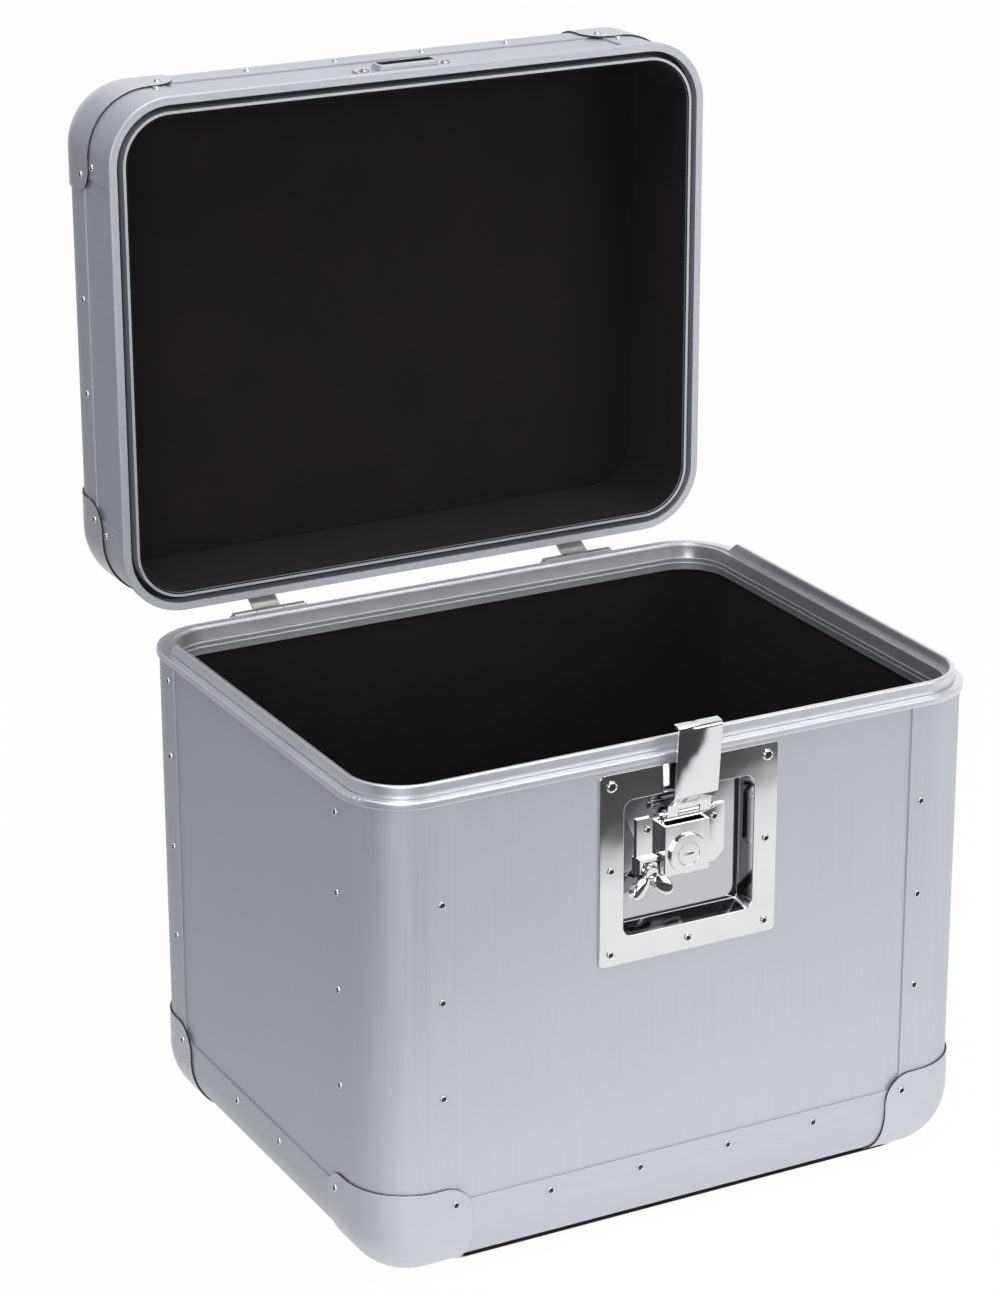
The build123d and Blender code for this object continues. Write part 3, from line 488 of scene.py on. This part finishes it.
def feltPad(name, inward):
    # stiff foam under felt: rounded edges, and a face that swells a little between them
    inward = Vector(inward)
    shape = mergedCopy(name)
    joinFlats(shape)
    rim = list(widestFace(shape, inward).edges)
    bmesh.ops.bevel(shape, geom=rim, offset=foam["round"], offset_type="OFFSET",
                    segments=foam["segments"], profile=0.5, affect="EDGES", material=-1,
                    clamp_overlap=True)
    flat = widestFace(shape, inward)
    centre = flat.calc_center_bounds()
    axes = [axis for axis in range(3) if abs(inward[axis]) < 0.5]
    halves = [max(abs(vert.co[axis] - centre[axis]) for vert in flat.verts) for axis in axes]
    level = flat.verts[0].co.dot(inward)
    for axis, half in zip(axes, halves):
        turn = Vector((0, 0, 0))
        turn[axis] = 1
        steps = int(2 * half / foam["step"])
        for step in range(1, steps):
            place = centre + turn * (2 * half * step / steps - half)
            faces = [face for face in shape.faces if face.normal.dot(inward) > foam["facing"]
                     and abs(face.verts[0].co.dot(inward) - level) < near["level"]]
            parts = [part for face in faces for part in (*face.verts, *face.edges, face)]
            bmesh.ops.bisect_plane(shape, geom=list(dict.fromkeys(parts)), dist=near["cut"],
                                   plane_co=place, plane_no=turn)
    for vert in shape.verts:
        if abs(vert.co.dot(inward) - level) < near["level"]:
            first, second = (vert.co[axis] - centre[axis] for axis in axes)
            inset = outlineInset(first, second, halves, foam["corner"])
            share = min(max(inset / foam["slope"], 0), 1)
            uneven = foam["dip"]
            for part, (pitch, shift) in zip((first, second), foam["waves"]):
                uneven *= math.sin(part * pitch + shift)
            vert.co += inward * (foam["rise"] * math.sin(share * math.pi / 2) + uneven * share)
    for face in shape.faces:
        face.smooth = True
    bmesh.ops.recalc_face_normals(shape, faces=shape.faces)
    piece = newPiece(f"{name}_felt", shape, [lining], nodes[name]["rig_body"], [name])
    piece.data.set_sharp_from_angle(angle=math.radians(foam["sharp"]))


feltPad("base_floor_pad", (0, 0, 1))
feltPad("lid_top_pad", (0, -1, 0))
print("felt pads")


def headSpots(name):
    # place, outward direction and radius of every separate head in a node
    shape = mergedCopy(name)
    # a dictionary's keys keep their order, so that every run makes the same mesh
    left = dict.fromkeys(shape.faces)
    spots = []
    while left:
        group = [next(iter(left))]
        del left[group[0]]
        for face in group:
            for edge in face.edges:
                for beside in edge.link_faces:
                    if beside in left:
                        del left[beside]
                        group.append(beside)
        areas = {}
        for face in group:
            key = tuple(round(part, 1) for part in face.normal)
            areas.setdefault(key, []).append(face)
        seat = max(areas.values(), key=lambda faces: sum(face.calc_area() for face in faces))
        corners = dict.fromkeys(vert for face in seat for vert in face.verts)
        centre = sum((vert.co for vert in corners), Vector()) / len(corners)
        radius = max((vert.co - centre).length for vert in corners)
        spots.append((centre, -seat[0].normal.normalized(), radius))
    shape.free()
    return spots


# the profile's radii and heights are shares of the head's radius, and its hollow, which takes the
# painted shade, starts at the given point number
rivet = {"steps": 14, "profile": ((1.0, 0.0), (0.98, 0.18), (0.90, 0.34), (0.80, 0.42),
                                  (0.70, 0.42), (0.62, 0.30), (0.58, 0.02)),
         "paintedShadeFrom": 5, "slack": 0.01}


def spinLine(shape, profile, steps):
    # a full turn of a line of radii and heights about the z axis
    line = [shape.verts.new((out, 0, up)) for out, up in profile]
    edges = [shape.edges.new(pair) for pair in zip(line, line[1:])]
    bmesh.ops.spin(shape, geom=line + edges, cent=(0, 0, 0), axis=(0, 0, 1), dvec=(0, 0, 0),
                   angle=math.tau, steps=steps, use_merge=True, use_duplicate=False)


def headMesh():
    # one domed blind-rivet head of unit radius, with painted shade in its hollow middle
    shape = bmesh.new()
    spinLine(shape, rivet["profile"], rivet["steps"])
    out, up = rivet["profile"][-1]
    inner = [edge for edge in shape.edges if edge.is_boundary and
             all(vert.co.xy.length < out + rivet["slack"] and vert.co.z < up + rivet["slack"]
                 for vert in edge.verts)]
    bmesh.ops.holes_fill(shape, edges=inner, sides=0)
    bmesh.ops.recalc_face_normals(shape, faces=shape.faces)
    hollow = rivet["profile"][rivet["paintedShadeFrom"]][0] + rivet["slack"]
    for face in shape.faces:
        face.smooth = True
        face.material_index = int(max(vert.co.xy.length for vert in face.verts) < hollow)
    mesh = bpy.data.meshes.new("rivet_head")
    shape.to_mesh(mesh)
    shape.free()
    return mesh


unitHead = headMesh()


def rivetHeads(name, finish, bigger=None):
    # bigger gives a height above which the heads are larger, and by how much
    shape = bmesh.new()
    for spot, outward, radius in headSpots(name):
        if bigger and spot.z > bigger[0]:
            radius *= bigger[1]
        turn = Vector((0, 0, 1)).rotation_difference(outward).to_matrix().to_4x4()
        before = len(shape.verts)
        shape.from_mesh(unitHead)
        shape.verts.ensure_lookup_table()
        place = Matrix.Translation(spot) @ turn @ Matrix.Scale(radius, 4)
        bmesh.ops.transform(shape, matrix=place, verts=shape.verts[before:])
    # the hollows of the heads take the painted shade
    newPiece(f"{name}_heads", shape, [finish, paintedShadeFinish], nodes[name]["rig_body"], [name])


rivetHeads("base_rivets", riveted)
rivetHeads("lid_rivets", riveted)
rivetHeads("latch_rivets", chrome, (0.265, 1.45))
rivetHeads("strike_screws", nickel)
print("rivet heads")


wing = {"hub": (-0.021, 0.2158), "back": -0.1460, "lobes": (225, 312), "reach": 0.0105,
        "lobe": (0.0073, 0.0045, 0.0012), "lift": 13, "steps": 28, "rings": 12, "sharp": 40,
        "boss": ((0.0046, 0.0), (0.0046, 0.0016), (0.0040, 0.0023), (0.0024, 0.0026),
                 (0.0020, 0.0022), (0.0, 0.0023))}


def butterflyWing():
    # the shaft and eccentric keep their form, and the two lobes are pressed to a lens
    shape = mergedCopy("butterfly_wing")
    bmesh.ops.bisect_plane(shape, geom=everythingIn(shape), dist=near["cut"],
                           plane_co=(0, wing["back"], 0), plane_no=(0, -1, 0), clear_outer=True)
    openEdges = [edge for edge in shape.edges if edge.is_boundary]
    bmesh.ops.holes_fill(shape, edges=openEdges, sides=0)
    hubX, hubZ = wing["hub"]
    # a local frame with z out of the case, x across and y up
    frontwards = Matrix(((1, 0, 0, hubX), (0, 0, -1, wing["back"]), (0, 1, 0, hubZ),
                         (0, 0, 0, 1)))
    for angle in wing["lobes"]:
        turn = Matrix.Rotation(math.radians(angle), 4, "Z")
        long, wide, thick = wing["lobe"]
        middle = Matrix.Translation((wing["reach"], 0, thick))
        lens = middle @ Matrix.Diagonal((long, wide, thick, 1))
        # the tip stands further out than the root, so that a finger gets under it
        raised = Matrix.Rotation(math.radians(-wing["lift"]), 4, "Y")
        bmesh.ops.create_uvsphere(shape, u_segments=wing["steps"], v_segments=wing["rings"],
                                  radius=1, matrix=frontwards @ turn @ raised @ lens)
    boss = bmesh.new()
    spinLine(boss, wing["boss"], wing["steps"])
    bmesh.ops.transform(boss, matrix=frontwards, verts=boss.verts)
    turned = bpy.data.meshes.new("wing_boss")
    boss.to_mesh(turned)
    boss.free()
    shape.from_mesh(turned)
    for face in shape.faces:
        face.smooth = True
    bmesh.ops.recalc_face_normals(shape, faces=shape.faces)
    piece = newPiece("butterfly_wing_lobes", shape, [chrome], "wing", ["butterfly_wing"])
    piece.data.set_sharp_from_angle(angle=math.radians(wing["sharp"]))


butterflyWing()
print("butterfly wing")


# the pale sheet ends at edge along slant and at left; a painted shade patch lies at patch; under
# gives the middle of the painted shadow on the floor below the case and where it ends
stage = {"level": -0.0024, "size": 12.0, "rough": 0.9, "whiteness": 0.975,
         "pale": (0.93, 0.93, 0.94, 1), "dark": (0.02, 0.02, 0.022, 1),
         "slant": (0.383, 0.924), "edge": -0.4865, "left": -0.50, "blur": 0.03,
         "ripple": (7.0, 2.0), "rippleHeight": 0.08,
         "patch": (-0.37, -0.40), "patchWide": 0.07, "patchLong": 0.5,
         "under": {"X": (0.012, 0.138, 0.146), "Y": (0.0, 0.1275, 0.1282)},
         "shadeStarts": {"X": (-0.17, -0.22), "Y": (-0.26, -0.14)},
         "shadeAlong": (-0.55, -0.22), "shade": (0.22, 0.47)}


def sheetCover(finish, spot):
    # 1 on the pale sheet and 0 in the dark studio in front of it
    ripple = finish.noise(*stage["ripple"]) * stage["rippleHeight"]
    middle = stage["rippleHeight"] / 2
    ahead = spot["X"] * stage["slant"][0] + spot["Y"] * stage["slant"][1] + ripple
    sideways = spot["X"] + ripple - (stage["left"] + middle)
    reach = (ahead - (stage["edge"] + middle)).least(sideways)
    # a painted shade patch on the floor beside the case, which the latch's dish reflects
    across = spot["X"] - stage["patch"][0]
    along = (spot["Y"] - stage["patch"][1]) * stage["patchLong"]
    apart = (across * across + along * along).root()
    reach = reach.least(apart - stage["patchWide"])
    cover = finish.ramp(reach, -stage["blur"], stage["blur"])
    # painted half shade: the floor on the left, from the case backwards, is painted darker
    shaded = 1.0
    for axis, (start, end) in stage["shadeStarts"].items():
        shaded = shaded * finish.ramp(spot[axis], start, end)
    halfShade = finish.ramp(spot["X"], *stage["shadeAlong"], *stage["shade"])
    return cover * (1.0 - shaded) + shaded * halfShade


def buildFloor():
    mesh = bpy.data.meshes.new("floor")
    shape = bmesh.new()
    bmesh.ops.create_grid(shape, x_segments=1, y_segments=1, size=stage["size"])
    bmesh.ops.translate(shape, vec=(0, 0, stage["level"]), verts=shape.verts)
    shape.to_mesh(mesh)
    shape.free()
    floor = bpy.data.objects.new("floor", mesh)
    bpy.context.collection.objects.link(floor)
    finish = Finish("floor_paint", {"Roughness": stage["rough"]})
    spot = finish.axes("Object")
    cover = sheetCover(finish, spot)
    # painted shadow: the floor right under the case is painted dark and loses its white
    shade = 1.0
    for axis, (middle, inner, outer) in stage["under"].items():
        shade = shade * finish.ramp((spot[axis] - middle).unsigned(), outer, inner)
    lit = 1.0 - shade
    finish.drive("Base Color", finish.tint(cover * lit, stage["dark"], stage["pale"]))
    painted = Term(finish.tree, finish.shader.outputs[0])
    white = finish.node("Emission", {}, {})
    seen = finish.seen(cover) * stage["whiteness"] * lit
    mixed = finish.node("MixShader", {}, {0: seen, 1: painted, 2: white})
    plug(finish.tree, finish.tree.nodes["Material Output"].inputs["Surface"], mixed)
    mesh.materials.append(finish.material)


# sky: share of the way up from straight down to straight up, and the colour there;
# rear and drop: the directions across which the room's back and its white backdrop begin
studio = {"sky": ((0.0, (0.5, 0.5, 0.5, 1)), (0.49, (0.4, 0.4, 0.412, 1)),
                  (0.52, (0.06, 0.06, 0.0618, 1)), (0.90, (0.08, 0.08, 0.0824, 1)),
                  (0.95, (0.65, 0.65, 0.6695, 1)), (1.0, (0.9, 0.9, 0.9, 1))),
          "rearColour": (0.40, 0.405, 0.45, 1), "rear": (-0.35, 0.1), "drop": (-0.35, 0.15),
          "white": (1, 1, 1, 1)}


def buildWorld():
    world = bpy.data.worlds.new("studio")
    bpy.context.scene.world = world
    world.use_nodes = True
    room = NodeTree(world.node_tree)
    spot = room.axes("Generated")
    sky = room.node("ValToRGB", {"stops": studio["sky"]}, {0: spot["Z"] * 0.5 + 0.5})
    # behind the case the room is plain and mid grey
    rear = room.ramp(spot["Y"], *studio["rear"])
    walls = room.tint(rear, sky, studio["rearColour"])
    # the white backdrop stands behind the case and to its right
    drop = room.ramp(spot["X"], *studio["drop"])
    colour = room.tint(room.seen(rear * drop), walls, studio["white"])
    plug(room.tree, room.tree.nodes["Background"].inputs["Color"], colour)


# place, target, size, power in watts and colour
lamps = {"front_soft": ((1.1, -1.9, 0.9), (0, 0, 0.2), (1.4, 1.2), 17.5, (1, 1, 1)),
         "corner_fill": ((-1.05, -1.75, 0.7), (-0.1, 0, 0.2), (0.9, 1.2), 21, (0.94, 0.955, 1)),
         "top_soft": ((-0.2, -0.4, 2.2), (0, 0, 0.3), (1.6, 1.6), 25, (1, 1, 1))}


def buildLight(name, place, target, size, power, colour):
    light = bpy.data.lights.new(name, "AREA")
    light.color = colour
    light.shape = "RECTANGLE"
    light.size, light.size_y = size
    light.energy = power
    lamp = bpy.data.objects.new(name, light)
    lamp.location = place
    lamp.rotation_euler = (Vector(target) - Vector(place)).to_track_quat("-Z", "Y").to_euler()
    bpy.context.collection.objects.link(lamp)


view = {"place": (-0.9894, -1.7911, 1.0529), "turn": (69.7253, 0.1271, -28.0628),
        "lens": 137.75, "sensor": 36.0, "far": 50.0}


def buildCamera():
    data = bpy.data.cameras.new("camera")
    data.sensor_fit = "HORIZONTAL"
    data.sensor_width = view["sensor"]
    data.lens = view["lens"]
    data.clip_end = view["far"]
    camera = bpy.data.objects.new("camera", data)
    camera.location = view["place"]
    camera.rotation_euler = [math.radians(angle) for angle in view["turn"]]
    bpy.context.collection.objects.link(camera)
    bpy.context.scene.camera = camera


buildFloor()
buildWorld()
for name, settings in lamps.items():
    buildLight(name, *settings)
buildCamera()
bpy.context.scene.view_settings.view_transform = "Standard"
print("stage, lights and camera")
